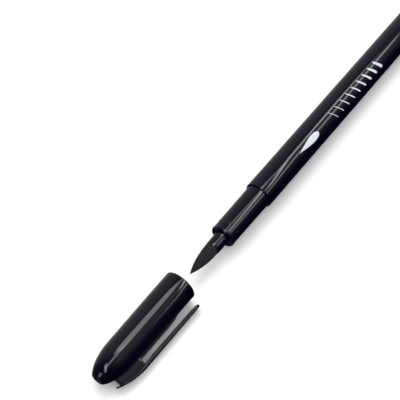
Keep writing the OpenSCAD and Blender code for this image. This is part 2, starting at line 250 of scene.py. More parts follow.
def settings():
    return bpy.context.scene.brush_pen


# ---------- outlines


def arc(centre_x, centre_r, radius, start, end, steps=6):
    """Points (place, radius) along an arc, angles in degrees from +X towards larger radii."""
    points = []
    for step in range(steps + 1):
        turn = math.radians(start + (end - start) * step / steps)
        points.append((centre_x + radius * math.cos(turn), centre_r + radius * math.sin(turn)))
    return points


def straight(start, end, steps):
    """Points on an even straight run from just after its start up to its end."""
    (start_x, start_r), (end_x, end_r) = start, end
    shares = [step / steps for step in range(1, steps + 1)]
    return [(start_x + (end_x - start_x) * share, start_r + (end_r - start_r) * share) for share in shares]


def dome_radius(radius, past, full):
    """Radius of an elliptical dome this far past its start."""
    return radius * math.sqrt(max(0.0, 1.0 - (past / full) ** 2))


# ---------- modelling by hand


def clear_selection():
    if bpy.context.object and bpy.context.object.mode != "OBJECT":
        bpy.ops.object.mode_set(mode="OBJECT")
    bpy.ops.object.select_all(action="DESELECT")


def only(obj):
    """Selects one object and makes it active."""
    clear_selection()
    obj.select_set(True)
    bpy.context.view_layer.objects.active = obj


def added(add_shape, **values):
    """Adds a simple shape with nothing else selected."""
    clear_selection()
    add_shape(**values)
    return bpy.context.active_object


def named(obj, name):
    obj.name = obj.data.name = name
    return obj


def settle(obj):
    """Puts an object's place, turn and size into its mesh."""
    only(obj)
    bpy.ops.object.transform_apply(location=True, rotation=True, scale=True)


def turn_round(obj, turn):
    """Turns a piece round the pen's axis."""
    obj.rotation_euler = (turn, 0.0, 0.0)
    settle(obj)


def edit_all(obj):
    """Opens one object for editing with all of it selected."""
    only(obj)
    bpy.ops.object.mode_set(mode="EDIT")
    bpy.ops.mesh.select_all(action="SELECT")


def face_outwards():
    """Turns every face of the mesh being edited outwards and ends the editing."""
    bpy.ops.mesh.select_all(action="SELECT")
    bpy.ops.mesh.normals_make_consistent(inside=False)
    bpy.ops.object.mode_set(mode="OBJECT")


def smooth(obj, degrees=35.0):
    only(obj)
    bpy.ops.object.shade_smooth_by_angle(angle=math.radians(degrees))


def turned(name, outline, steps=128, ring=False):
    """Traces (place, radius) points with one vertex and spins the line round the X axis."""
    first = Vector((outline[0][0], 0.0, outline[0][1]))
    obj = named(added(bpy.ops.mesh.primitive_plane_add, size=MM, location=first), name)
    settle(obj)
    edit_all(obj)
    bpy.ops.mesh.merge(type="CENTER")
    stops = list(outline[1:]) + ([outline[0]] if ring else [])
    here = first
    for place, radius in stops:
        there = Vector((place, 0.0, radius))
        bpy.ops.mesh.extrude_region_move(TRANSFORM_OT_translate={"value": there - here})
        here = there
    bpy.ops.mesh.select_all(action="SELECT")
    bpy.ops.mesh.spin(steps=steps, angle=2 * math.pi, center=(0, 0, 0), axis=(1, 0, 0))
    bpy.ops.mesh.select_all(action="SELECT")
    bpy.ops.mesh.remove_doubles(threshold=0.0005 * MM)
    bpy.ops.mesh.dissolve_degenerate(threshold=0.0001 * MM)
    face_outwards()
    smooth(obj)
    return obj


def swept(name, stations, full_thick, full_wide, rounding):
    """A bar of rounded section through stations, drawn with -Y outwards.

    A station is its place, middle radius, thickness and width."""
    place, middle, thick, wide = stations[0]
    start = {"location": (place, -middle, 0.0), "rotation": (0.0, math.pi / 2, 0.0)}
    obj = named(added(bpy.ops.mesh.primitive_plane_add, size=1.0, **start), name)
    obj.scale = (full_wide, full_thick, 1.0)
    settle(obj)
    edit_all(obj)
    bpy.ops.mesh.bevel(offset=rounding, segments=6, affect="VERTICES")
    bpy.ops.mesh.select_all(action="SELECT")
    bpy.ops.transform.resize(
        value=(1.0, thick / full_thick, wide / full_wide), center_override=(place, -middle, 0.0)
    )
    for next_place, next_middle, next_thick, next_wide in stations[1:]:
        shift = (next_place - place, middle - next_middle, 0.0)
        bpy.ops.mesh.extrude_region_move(TRANSFORM_OT_translate={"value": shift})
        bpy.ops.transform.resize(
            value=(1.0, next_thick / thick, next_wide / wide),
            center_override=(next_place, -next_middle, 0.0)
        )
        place, middle, thick, wide = next_place, next_middle, next_thick, next_wide
    face_outwards()
    return obj


def finish_with(obj, kind, **values):
    """Adds a modifier, sets it and applies it."""
    only(obj)
    modifier = obj.modifiers.new(kind.title(), kind)
    for key, value in values.items():
        setattr(modifier, key, value)
    bpy.ops.object.modifier_apply(modifier=modifier.name)


def soften(obj, width, limit=50.0):
    """Rounds a swept bar's edges and turns it from -Y to where the clip lies."""
    limit = math.radians(limit)
    finish_with(obj, "BEVEL", width=width, segments=3, limit_method="ANGLE", angle_limit=limit)
    turn_round(obj, CLIP_ROLL)
    smooth(obj, 40.0)


def joined(name, pieces):
    clear_selection()
    for piece in pieces:
        piece.select_set(True)
    bpy.context.view_layer.objects.active = pieces[0]
    bpy.ops.object.join()
    return named(pieces[0], name)


def dress(obj, material):
    obj.data.materials.clear()
    obj.data.materials.append(material)


# ---------- finishes


class Recipe:
    """A material with its shader and short ways to add nodes."""

    def __init__(self, name):
        self.material = bpy.data.materials.get(name) or bpy.data.materials.new(name)
        self.material.use_nodes = True
        self.material.node_tree.nodes.clear()
        self.node = self.material.node_tree.nodes.new
        self.link = self.material.node_tree.links.new
        self.shader = self.node("ShaderNodeBsdfPrincipled")
        output = self.node("ShaderNodeOutputMaterial")
        self.link(self.shader.outputs[0], output.inputs["Surface"])
        self.coordinates = self.node("ShaderNodeTexCoord")

    def constant(self, **values):
        for key, value in values.items():
            self.shader.inputs[key.replace("_", " ")].default_value = value

    def noise(self, scale, along=1.0, detail=3.0, roughness=0.5):
        """Noise at this scale, which changes this much as fast along the pen."""
        mapping = self.node("ShaderNodeMapping")
        mapping.inputs["Scale"].default_value = (along, 1.0, 1.0)
        self.link(self.coordinates.outputs["Object"], mapping.inputs["Vector"])
        texture = self.node("ShaderNodeTexNoise")
        texture.inputs["Scale"].default_value = scale
        texture.inputs["Detail"].default_value = detail
        texture.inputs["Roughness"].default_value = roughness
        self.link(mapping.outputs[0], texture.inputs["Vector"])
        return texture.outputs["Fac"]

    def two_tone(self, source, first, second, start=0.35, end=0.65):
        ramp = self.node("ShaderNodeValToRGB")
        ramp.color_ramp.elements[0].position = start
        ramp.color_ramp.elements[0].color = (*first, 1.0)
        ramp.color_ramp.elements[1].position = end
        ramp.color_ramp.elements[1].color = (*second, 1.0)
        self.link(source, ramp.inputs[0])
        self.link(ramp.outputs[0], self.shader.inputs["Base Color"])

    def tint(self, source, tone, low, high):
        """Varies one colour between two shares of itself."""
        shades = [[min(1.0, part * share) for part in tone] for share in (low, high)]
        self.two_tone(source, *shades)

    def roughness(self, source, low, high):
        """Lets the middle of a noise vary the roughness between two values."""
        node = self.node("ShaderNodeMapRange")
        for key, value in (("From Min", 0.35), ("From Max", 0.65), ("To Min", low), ("To Max", high)):
            node.inputs[key].default_value = value
        self.link(source, node.inputs["Value"])
        self.link(node.outputs[0], self.shader.inputs["Roughness"])

    def bump(self, source, height, strength, below=None):
        node = self.node("ShaderNodeBump")
        node.inputs["Strength"].default_value = strength
        node.inputs["Distance"].default_value = height
        self.link(source, node.inputs["Height"])
        if below:
            self.link(below, node.inputs["Normal"])
        self.link(node.outputs[0], self.shader.inputs["Normal"])
        return node.outputs[0]


def gloss_black():
    """Polished moulded black with faint handling haze and a trace of orange peel."""
    recipe = Recipe("gloss_black")
    tone = settings().finishes.black
    recipe.constant(IOR=1.49, Specular_IOR_Level=0.5)
    recipe.tint(recipe.noise(160.0, detail=2.0), tone, 0.88, 1.18)
    recipe.roughness(recipe.noise(240.0, 0.35, 5.0), 0.055, 0.105)
    peel = recipe.bump(recipe.noise(950.0, detail=1.0), 0.0011 * MM, 0.5)
    recipe.bump(recipe.noise(2600.0, 0.05, 2.0), 0.0004 * MM, 0.5, below=peel)
    return recipe.material


def brush_fibre():
    """Matt ink-stained fibre, streaked along its length."""
    recipe = Recipe("brush_fibre")
    look = settings().finishes
    recipe.constant(IOR=1.42, Specular_IOR_Level=0.28, Sheen_Weight=0.05, Sheen_Roughness=0.5)
    streaks = recipe.noise(420.0, 0.35, 5.0, 0.62)
    recipe.two_tone(streaks, look.fibre_inked, look.fibre, 0.38, 0.68)
    recipe.roughness(recipe.noise(600.0, 0.3, 3.0), 0.62, 0.86)
    strands = recipe.bump(recipe.noise(5200.0, 0.04, 3.0, 0.7), 0.03 * MM, 0.55)
    recipe.bump(recipe.noise(2600.0, detail=4.0), 0.02 * MM, 0.35, below=strands)
    return recipe.material


def printed_ink():
    """Pad-printed ink, slightly uneven."""
    recipe = Recipe("print_ink")
    tone = settings().finishes.print_ink
    recipe.constant(IOR=1.45)
    recipe.tint(recipe.noise(1800.0, detail=4.0), tone, 0.86, 1.05)
    recipe.roughness(recipe.noise(1400.0), 0.34, 0.5)
    recipe.bump(recipe.noise(4200.0, detail=2.0), 0.002 * MM, 0.4)
    return recipe.material


def moulded(name, tone, low, high):
    """Plain moulded plastic with a fine moulding grain."""
    recipe = Recipe(name)
    recipe.constant(IOR=1.49)
    recipe.tint(recipe.noise(280.0), tone, 0.9, 1.06)
    recipe.roughness(recipe.noise(700.0), low, high)
    recipe.bump(recipe.noise(2800.0, detail=2.0), 0.004 * MM, 0.4)
    return recipe.material


def fibre_bundle(name, tone):
    """Bonded fibres that run along the pen."""
    recipe = Recipe(name)
    recipe.constant(IOR=1.4, Specular_IOR_Level=0.3)
    recipe.tint(recipe.noise(3800.0, 0.03, 4.0, 0.7), tone, 0.6, 1.7)
    recipe.roughness(recipe.noise(900.0), 0.6, 0.85)
    recipe.bump(recipe.noise(5200.0, 0.03, 3.0, 0.7), 0.04 * MM, 0.7)
    return recipe.material


def clear_film():
    """Thin clear film with slight wrinkles."""
    recipe = Recipe("clear_film")
    tone = settings().finishes.film
    recipe.constant(IOR=1.47, Transmission_Weight=0.9)
    recipe.tint(recipe.noise(300.0), tone, 0.95, 1.05)
    recipe.roughness(recipe.noise(500.0, 0.3), 0.08, 0.22)
    recipe.bump(recipe.noise(700.0, 0.2, 3.0), 0.02 * MM, 0.5)
    return recipe.material


def floor_paper():
    recipe = Recipe("floor_paper")
    tone = settings().finishes.paper
    recipe.constant(Specular_IOR_Level=0.1)
    recipe.tint(recipe.noise(60.0), tone, 0.997, 1.003)
    recipe.roughness(recipe.noise(200.0), 0.85, 0.95)
    return recipe.material


# ---------- the pen


class BRUSHPEN_OT_barrel(bpy.types.Operator):
    """Models the barrel tube with rounded rims and its inner ribs"""

    bl_idname = "brushpen.barrel"
    bl_label = "Barrel"

    def execute(self, context):
        sizes = settings().barrel
        bore = BARREL_R - sizes.wall
        edge = sizes.rim_radius
        chamfer = 0.1 * MM
        outline = [(RIM_X, bore + chamfer)]
        outline += arc(RIM_X + edge, BARREL_R - edge, edge, 180.0, 90.0)
        outline += straight((RIM_X, BARREL_R), (TAIL_X, BARREL_R), 6)[:-1]
        outline += arc(TAIL_X - edge, BARREL_R - edge, edge, 90.0, 0.0)
        outline += [(TAIL_X, bore), (RIM_X + chamfer, bore)]
        pieces = [turned("barrel_tube", outline, steps=FACETS, ring=True)]
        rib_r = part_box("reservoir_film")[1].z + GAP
        short = 4 * MM
        sunk = 0.2 * MM
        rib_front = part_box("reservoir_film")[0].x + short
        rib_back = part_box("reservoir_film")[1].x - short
        middle = ((rib_front + rib_back) / 2, 0, (rib_r + bore) / 2)
        for rib_number in range(sizes.rib_count):
            rib = added(bpy.ops.mesh.primitive_cube_add, size=1.0, location=middle)
            rib.scale = (rib_back - rib_front, sizes.rib_width, bore - rib_r + sunk)
            settle(rib)
            finish_with(rib, "BEVEL", width=0.12 * MM, segments=2)
            turn_round(rib, 2 * math.pi * rib_number / sizes.rib_count)
            pieces.append(rib)
        barrel = joined("barrel_tube", pieces)
        smooth(barrel)
        dress(barrel, gloss_black())
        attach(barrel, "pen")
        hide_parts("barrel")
        return {"FINISHED"}


class BRUSHPEN_OT_end_plug(bpy.types.Operator):
    """Models the plug that closes the barrel's back end"""

    bl_idname = "brushpen.end_plug"
    bl_label = "End Plug"

    def execute(self, context):
        sizes = settings().barrel
        head = BARREL_R - sizes.plug_step
        spigot = BARREL_R - sizes.wall - GAP
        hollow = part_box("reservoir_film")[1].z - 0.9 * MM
        curve = sizes.plug_rounding
        chamfer = 0.2 * MM
        edge = 0.15 * MM
        crown = 0.02 * MM
        floor_x = TAIL_X - 2 * MM
        outline = [(PLUG_FRONT_X, hollow), (PLUG_FRONT_X, spigot - chamfer)]
        outline += [(PLUG_FRONT_X + chamfer, spigot), (TAIL_X, spigot), (TAIL_X, head - edge)]
        outline += arc(TAIL_X + edge, head - edge, edge, 180.0, 90.0, 4)[1:]
        outline += arc(PLUG_END_X - curve, head - curve, curve, 90.0, 8.0, 12)
        outline += [(PLUG_END_X - crown, head * 0.45)]
        # Shallow dimple left by the moulding gate
        dimple_x = PLUG_END_X - 0.18 * MM
        outline += [(PLUG_END_X, 0.75 * MM), (dimple_x, 0.6 * MM), (dimple_x, 0.0)]
        outline += [(floor_x, 0.0), (floor_x, hollow)]
        plug = turned("end_plug_moulding", outline, ring=True)
        dress(plug, gloss_black())
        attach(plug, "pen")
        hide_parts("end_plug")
        return {"FINISHED"}


class BRUSHPEN_OT_section(bpy.types.Operator):
    """Models the front section with its bead, recess and snap nubs"""

    bl_idname = "brushpen.section"
    bl_label = "Section"

    def execute(self, context):
        sizes = settings().section
        barrel = settings().barrel
        front = SECTION_R - sizes.taper
        slope = sizes.taper / (RIM_X - FRONT_X)
        spigot = BARREL_R - barrel.wall - GAP
        inside = spigot - SPIGOT_WALL
        chamfer = 0.2 * MM
        seat = FRONT_X + sizes.recess_depth
        recess = FLANGE_R + GAP
        socket = recess - 0.5 * MM
        edge = 0.12 * MM
        bead = sizes.bead_width
        outline = [(seat, socket), (seat, recess), (FRONT_X + 0.3 * MM, recess)]
        outline += [(FRONT_X + 0.05 * MM, recess + 0.22 * MM), (FRONT_X, recess + 0.3 * MM)]
        for step in range(9):
            turn = math.pi * step / 8
            rise = sizes.bead_height * math.sin(turn) - edge * max(0.0, math.cos(turn))
            place = FRONT_X + bead * (1 - math.cos(turn)) / 2
            outline.append((place, front + slope * (place - FRONT_X) + rise))
        outline += [(FRONT_X + bead + edge, front + slope * bead)]
        outline += straight((FRONT_X + bead, front + slope * bead), (RIM_X, front + sizes.taper), 5)
        outline += [(RIM_X, spigot), (SPIGOT_END_X - chamfer, spigot), (SPIGOT_END_X, spigot - chamfer)]
        outline += [(SPIGOT_END_X, inside), (RIM_X, inside), (RIM_X, FEED_BORE_R)]
        outline += [(NOSE_BACK_X, FEED_BORE_R), (NOSE_BACK_X, socket)]
        pieces = [turned("section_moulding", outline, steps=FACETS, ring=True)]
        nub_x = FRONT_X + sizes.nub_back
        nub_r = front + slope * sizes.nub_back
        nub_place = (nub_x, 0.0, nub_r - sizes.nub_height * 0.4)
        for nub_number in range(sizes.nub_count):
            nub = added(
                bpy.ops.mesh.primitive_uv_sphere_add,
                segments=24, ring_count=16, radius=1.0, location=nub_place
            )
            nub.scale = (sizes.nub_length / 2, sizes.nub_length * 0.42, sizes.nub_height * 1.4)
            settle(nub)
            turn_round(nub, 2 * math.pi * nub_number / sizes.nub_count)
            pieces.append(nub)
        section = joined("section_moulding", pieces)
        smooth(section)
        dress(section, gloss_black())
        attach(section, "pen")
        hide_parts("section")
        return {"FINISHED"}


class BRUSHPEN_OT_nose(bpy.types.Operator):
    """Models the nose that holds the brush"""

    bl_idname = "brushpen.nose"
    bl_label = "Nose"

    def execute(self, context):
        sizes = settings().section
        seat = FRONT_X + sizes.recess_depth
        flange = seat - 0.5 * MM
        tip_r = BRUSH_R + sizes.nose_lip
        bore = ROOT_R + GAP
        spigot = FLANGE_R - 0.5 * MM
        socket = COLLAR_R + GAP
        edge = 0.14 * MM
        chamfer = 0.15 * MM
        outline = [(NOSE_TIP_X + 0.12 * MM, bore), (NOSE_TIP_X, bore + 0.06 * MM)]
        outline += arc(NOSE_TIP_X + edge, tip_r - edge, edge, 180.0, 95.0, 5)
        outline += straight((NOSE_TIP_X, tip_r), (flange - 0.35 * MM, sizes.nose_back_r), 4)
        # Fillet from the nose to its flange
        outline += [(flange - 0.12 * MM, sizes.nose_back_r + 0.07 * MM)]
        outline += [(flange, sizes.nose_back_r + 0.3 * MM), (flange, FLANGE_R - 0.1 * MM)]
        outline += [(flange + 0.1 * MM, FLANGE_R), (seat, FLANGE_R), (seat, spigot)]
        outline += [(NOSE_BACK_X - chamfer, spigot), (NOSE_BACK_X, spigot - chamfer)]
        outline += [(NOSE_BACK_X, socket), (COLLAR_FRONT_X, socket), (COLLAR_FRONT_X, bore)]
        nose = turned("nose_moulding", outline, steps=96, ring=True)
        dress(nose, gloss_black())
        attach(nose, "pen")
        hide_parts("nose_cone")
        return {"FINISHED"}


class BRUSHPEN_OT_brush(bpy.types.Operator):
    """Models the brush as one piece, from its root in the nose to its point"""

    bl_idname = "brushpen.brush"
    bl_label = "Brush"

    def execute(self, context):
        sizes = settings().brush
        tip_length = NOSE_TIP_X - POINT_X
        outline = [(POINT_X, 0.0)]
        rings = 56
        for step in range(1, rings + 1):
            # Rings crowd towards the point
            part = (1 - step / rings) ** 0.8
            radius = sizes.point_radius * (1 - part ** 8)
            radius += (BRUSH_R - sizes.point_radius) * (1 - part ** sizes.fullness)
            outline.append((NOSE_TIP_X - part * tip_length, radius))
        outline += [(NOSE_TIP_X + 0.1 * MM, ROOT_R), (NOSE_TIP_X + 3 * MM, ROOT_R), (ROOT_BACK_X, ROOT_R)]
        outline += [(ROOT_BACK_X, 0.0)]
        brush = turned("brush_tuft", outline, steps=FACETS)
        self.comb(brush, sizes)
        dress(brush, brush_fibre())
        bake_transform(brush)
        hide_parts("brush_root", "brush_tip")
        return {"FINISHED"}

    @staticmethod
    def comb(brush, sizes):
        """Presses shallow grooves between tufts of fibre, which wander a little and fade into the nose."""
        for vertex in brush.data.vertices:
            place = vertex.co
            radius = math.hypot(place.y, place.z)
            if place.x > NOSE_TIP_X or radius < NEAR_AXIS:
                continue
            ahead = (NOSE_TIP_X - place.x) / (NOSE_TIP_X - POINT_X)
            turn = math.atan2(place.z, place.y)
            wander = 0.35 * math.sin(9.0 * ahead + 2.0 * turn) + 0.2 * math.sin(23.0 * ahead - 5.0 * turn)
            wave = math.sin(sizes.fibre_count * turn + wander * 3.0)
            uneven = 0.6 + 0.4 * math.sin(7.0 * turn + 4.0 * ahead)
            fade = min(1.0, ahead * 12.0) * min(1.0, radius / (0.3 * BRUSH_R))
            press = sizes.fibre_depth * uneven * fade * (wave - 1.0) / 2
            place.y *= 1 + press / radius
            place.z *= 1 + press / radius


class BRUSHPEN_OT_print(bpy.types.Operator):
    """Prints a plain ink drop and a row of sample strokes on the barrel"""

    bl_idname = "brushpen.print"
    bl_label = "Print"

    def execute(self, context):
        sizes = settings().marks
        marks = [self.drop(sizes)]
        marks += [self.stroke(sizes, order) for order in range(sizes.stroke_count)]
        for mark in marks:
            self.wrap(mark, sizes)
        printed = joined("barrel_print", marks)
        finish_with(printed, "SOLIDIFY", thickness=sizes.film, offset=1.0)
        smooth(printed)
        dress(printed, printed_ink())
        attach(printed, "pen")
        return {"FINISHED"}

    @staticmethod
    def patch(name, place):
        """A fine flat grid, one millimetre square, with its middle at this place along the pen."""
        grid = added(
            bpy.ops.mesh.primitive_grid_add,
            x_subdivisions=24, y_subdivisions=16, size=MM, location=(place, 0.0, 0.0)
        )
        settle(grid)
        return named(grid, name)

    def drop(self, sizes):
        """A grid pulled into a drop: round behind and drawn out to a point in front."""
        place = RIM_X + sizes.drop_back
        mark = self.patch("print_drop", place)
        for vertex in mark.data.vertices:
            along = (vertex.co.x - place) / (MM / 2)
            across = vertex.co.y / (MM / 2)
            turn = math.acos(max(-1.0, min(1.0, along)))
            half = math.sin(turn) * math.sin(turn / 2) ** 1.6 * 1.28
            vertex.co.x = place - along * sizes.drop_length / 2
            vertex.co.y = across * half * sizes.drop_width / 2
        return mark

    def stroke(self, sizes, order):
        """One slanted stroke with soft ends; each is bolder than the one before."""
        place = RIM_X + sizes.first_stroke + order * sizes.stroke_pitch
        share = order / (sizes.stroke_count - 1)
        wide = sizes.thinnest + (sizes.boldest - sizes.thinnest) * share ** 1.4
        slant = math.radians(28.0)
        mark = self.patch("print_stroke", place)
        for vertex in mark.data.vertices:
            along = (vertex.co.x - place) / (MM / 2)
            across = vertex.co.y / (MM / 2)
            half = math.sqrt(max(0.0, 1.0 - abs(along) ** 5)) * (0.82 + 0.18 * along)
            run = along * sizes.stroke_length / 2
            side = across * half * wide / 2
            vertex.co.x = place + run * math.sin(slant) + side * math.cos(slant)
            vertex.co.y = run * math.cos(slant) - side * math.sin(slant)
        return mark

    @staticmethod
    def wrap(mark, sizes):
        """Lays a flat mark on the barrel."""
        edit_all(mark)
        bpy.ops.mesh.remove_doubles(threshold=0.002 * MM)
        bpy.ops.object.mode_set(mode="OBJECT")
        radius = BARREL_R + 0.002 * MM
        for vertex in mark.data.vertices:
            turn = sizes.turn - vertex.co.y / radius
            vertex.co.y = -radius * math.cos(turn)
            vertex.co.z = radius * math.sin(turn)
        edit_all(mark)
        face_outwards()
        middle = mark.data.polygons[len(mark.data.polygons) // 2]
        if middle.normal.dot(Vector((0.0, middle.center.y, middle.center.z))) < 0:
            mark.data.flip_normals()


# ---------- the cap


def cavity_r():
    return MOUTH_R - settings().cap.wall


class BRUSHPEN_OT_cap(bpy.types.Operator):
    """Models the cap's shell with its rounded lip, its blunt dome and its cavity"""

    bl_idname = "brushpen.cap"
    bl_label = "Cap"

    def execute(self, context):
        sizes = settings().cap
        shoulder_x = CLOSED_X + sizes.dome_length
        shoulder = MOUTH_R - sizes.taper
        full = sizes.dome_length + MM
        lip = sizes.lip_radius
        inner_lip = (sizes.wall - lip) * 0.6
        outline = arc(MOUTH_X - lip, MOUTH_R - lip, lip, 0.0, 90.0)
        outline += straight((MOUTH_X, MOUTH_R), (shoulder_x, shoulder), 5)
        round_from = sizes.dome_length - sizes.end_radius
        for step in range(1, 25):
            past = round_from * math.sin(math.pi / 2 * step / 24)
            outline.append((shoulder_x - past, dome_radius(shoulder, past, full)))
        last = outline[-1][1]
        outline += [(CLOSED_X + sizes.end_radius * 0.45, last - 0.16 * MM)]
        outline += [(CLOSED_X + 0.06 * MM, last - 0.5 * MM), (CLOSED_X, last - 0.95 * MM)]
        outline += [(CLOSED_X, last / 2), (CLOSED_X, 0.0)]
        bottom_x = CLOSED_X + sizes.end_wall
        outline += [(bottom_x, 0.0)]
        inside = cavity_r() - sizes.taper
        for step in range(16, -1, -1):
            past = (sizes.dome_length - sizes.end_wall) * step / 16
            outline.append((shoulder_x - past, dome_radius(inside, past, sizes.dome_length)))
        # Low ring that snaps past the section's nubs
        snap_x = MOUTH_X - 15.5 * MM
        for shift, rise in ((-0.9, 0.0), (-0.4, 0.07), (0.0, 0.1), (0.4, 0.07), (0.9, 0.0)):
            outline.append((snap_x + shift * MM, cavity_r() - rise * MM))
        outline += arc(MOUTH_X - inner_lip, cavity_r() + inner_lip, inner_lip, 270.0, 360.0)
        shell = turned("cap_moulding", outline, steps=FACETS, ring=True)
        dress(shell, gloss_black())
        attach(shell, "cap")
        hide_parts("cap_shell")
        return {"FINISHED"}


class BRUSHPEN_OT_liner(bpy.types.Operator):
    """Models the inner liner that closes over the brush"""

    bl_idname = "brushpen.liner"
    bl_label = "Liner"

    def execute(self, context):
        sizes = settings().cap
        shoulder_x = CLOSED_X + sizes.dome_length
        inside = cavity_r() - sizes.taper
        curved_from = sizes.dome_length * math.sqrt(1 - ((LINER_R + GAP) / inside) ** 2)
        end = shoulder_x - LINER_BACK_X
        wall = sizes.liner_wall

        def dome(last, inset):
            """The curved end as far as this, inset from the cavity's wall."""
            points = []
            for step in range(17):
                past = curved_from + (last - curved_from) * step / 16
                points.append((shoulder_x - past, dome_radius(inside, past, sizes.dome_length) - inset))
            return points

        outline = arc(LINER_FRONT_X - wall / 2, LINER_R - wall / 2, wall / 2, -90.0, 90.0, 8)
        outline += dome(end, GAP)
        outline += [(LINER_BACK_X, 0.0), (LINER_BACK_X + wall, 0.0)]
        outline += reversed(dome(end - wall, GAP + wall))
        liner = turned("liner_moulding", outline, steps=96, ring=True)
        dress(liner, moulded("liner_plastic", settings().finishes.liner, 0.38, 0.5))
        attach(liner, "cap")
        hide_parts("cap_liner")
        return {"FINISHED"}


def clip_face_r(place):
    """Radius of the clip's outer face: straight, then curved towards the closed end."""
    sizes = settings().clip
    reach = CLIP_MIDDLE_R + sizes.thickness / 2
    turn_x = CLOSED_X + sizes.foot_front - 0.4 * MM
    if place >= turn_x:
        return reach
    return reach - sizes.back_radius + math.sqrt(sizes.back_radius ** 2 - (turn_x - place) ** 2)


class BRUSHPEN_OT_foot(bpy.types.Operator):
    """Models the foot that carries the clip and the low ridge under the clip"""

    bl_idname = "brushpen.foot"
    bl_label = "Clip Foot"

    def execute(self, context):
        sizes = settings().clip
        cap = settings().cap
        shoulder_x = CLOSED_X + cap.dome_length
        front = CLOSED_X + sizes.foot_front
        back = CLOSED_X + sizes.foot_back
        shoulder = MOUTH_R - cap.taper
        stations = []
        for step in range(13):
            place = back + (front - back) * step / 12
            past = max(0.0, shoulder_x - place)
            low = dome_radius(shoulder, past, cap.dome_length + MM) - 0.6 * MM
            high = clip_face_r(place) - sizes.thickness * 0.45
            stations.append((place, (low + high) / 2, high - low, sizes.foot_width))
        foot = swept("clip_foot", stations, 3 * MM, sizes.foot_width, 0.3 * MM)
        soften(foot, 0.15 * MM)
        ridge_end = MOUTH_X - sizes.ridge_front
        height = sizes.ridge_height
        stations = []
        for step in range(13):
            part = step / 12
            place = front - MM + (ridge_end - front + MM) * part
            top = MOUTH_R + height * min(1.0, math.sqrt(max(0.02, (1 - part) * 8)))
            low = shoulder - 0.4 * MM
            stations.append((place, (low + top) / 2, top - low, sizes.ridge_width))
        ridge = swept("cap_ridge", stations, height * 2, sizes.ridge_width, 0.4 * MM)
        soften(ridge, 0.1 * MM)
        for piece in (foot, ridge):
            dress(piece, gloss_black())
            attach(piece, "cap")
        return {"FINISHED"}


class BRUSHPEN_OT_clip(bpy.types.Operator):
    """Models the clip as one moulding, from its curved tail to its rounded free end"""

    bl_idname = "brushpen.clip"
    bl_label = "Clip"

    def execute(self, context):
        sizes = settings().clip
        stations = self.stations(sizes)
        clip = swept("clip_moulding", stations, sizes.thickness, sizes.width, sizes.edge_radius)
        self.press_groove(clip, sizes)
        soften(clip, 0.12 * MM, 48.0)
        dress(clip, gloss_black())
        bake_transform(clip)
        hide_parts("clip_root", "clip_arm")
        return {"FINISHED"}

    @staticmethod
    def stations(sizes):
        """Sections of the bar: its tail is drawn to a blunt point and its free end is round."""
        span = CLIP_END_X - CLIP_TAIL_X
        half = sizes.width / 2
        point = 3.2 * MM
        parts = [step / 40 for step in range(41)]
        places = [CLIP_TAIL_X + span * (part + 0.012 * math.sin(2 * math.pi * part)) for part in parts]
        places = [place for place in places if place < CLIP_END_X - 1.2 * half]
        places += [CLIP_END_X - half * (1 - math.sin(math.pi / 12 * step)) for step in range(7)]
        stations = []
        for place in places:
            from_tail = (place - CLIP_TAIL_X) / point
            from_end = (CLIP_END_X - place) / half
            rounding = 1.0
            wide = sizes.width
            if from_tail < 1:
                wide *= 0.35 + 0.65 * math.sin(math.pi / 2 * from_tail)
            if from_end < 1:
                rounding = math.sqrt(max(0.0, 1 - (1 - from_end) ** 2))
                wide *= max(0.3, rounding)
            curved = min(1.0, (place - CLIP_TAIL_X) / (CLIP_HINGE.x - CLIP_TAIL_X))
            thick = sizes.tail_thickness + (sizes.thickness - sizes.tail_thickness) * curved
            if place > CLIP_HINGE.x:
                run = (place - CLIP_HINGE.x) / (CLIP_END_X - CLIP_HINGE.x)
                thick = sizes.thickness + (sizes.tip_thickness - sizes.thickness) * run
            middle = clip_face_r(place) - thick / 2
            stations.append((place, middle, thick * (0.55 + 0.45 * rounding), wide))
        return stations

    @staticmethod
    def press_groove(clip, sizes):
        """Insets the inner face of the free arm and sinks it."""
        only(clip)
        bpy.ops.object.mode_set(mode="EDIT")
        bpy.ops.mesh.select_mode(type="FACE")
        bpy.ops.mesh.select_all(action="DESELECT")
        bpy.ops.object.mode_set(mode="OBJECT")
        groove_from = CLIP_HINGE.x + 2.4 * MM
        groove_to = CLIP_END_X - 0.6 * sizes.width
        flat = 0.995
        for face in clip.data.polygons:
            face.select = groove_from < face.center.x < groove_to and face.normal.y > flat
        bpy.ops.object.mode_set(mode="EDIT")
        bpy.ops.mesh.inset(thickness=0.35 * MM, depth=0.0, use_even_offset=True)
        bpy.ops.mesh.inset(thickness=0.12 * MM, depth=-sizes.groove_depth, use_even_offset=True)
        bpy.ops.mesh.select_mode(type="VERT")
        bpy.ops.object.mode_set(mode="OBJECT")


# ---------- the ink store


class BRUSHPEN_OT_ink_store(bpy.types.Operator):
    """Gives the pieces inside the barrel their finishes"""

    bl_idname = "brushpen.ink_store"
    bl_label = "Ink Store"

    def execute(self, context):
        look = settings().finishes
        milky = moulded("natural_plastic", look.milky, 0.35, 0.5)
        finishes = {
            "nib_collar": milky,
            "breather_tube": milky,
            "feed_rod": fibre_bundle("feed_fibre", look.rod),
            "ink_reservoir": fibre_bundle("ink_fibre", look.store),
            "reservoir_film": clear_film(),
        }
        for node, material in finishes.items():
            dress(frame["nodes"][node], material)
        spare = gloss_black()
        for node in frame["nodes"].values():
            if node.name not in finishes:
                dress(node, spare)
        return {"FINISHED"}


# ---------- the studio


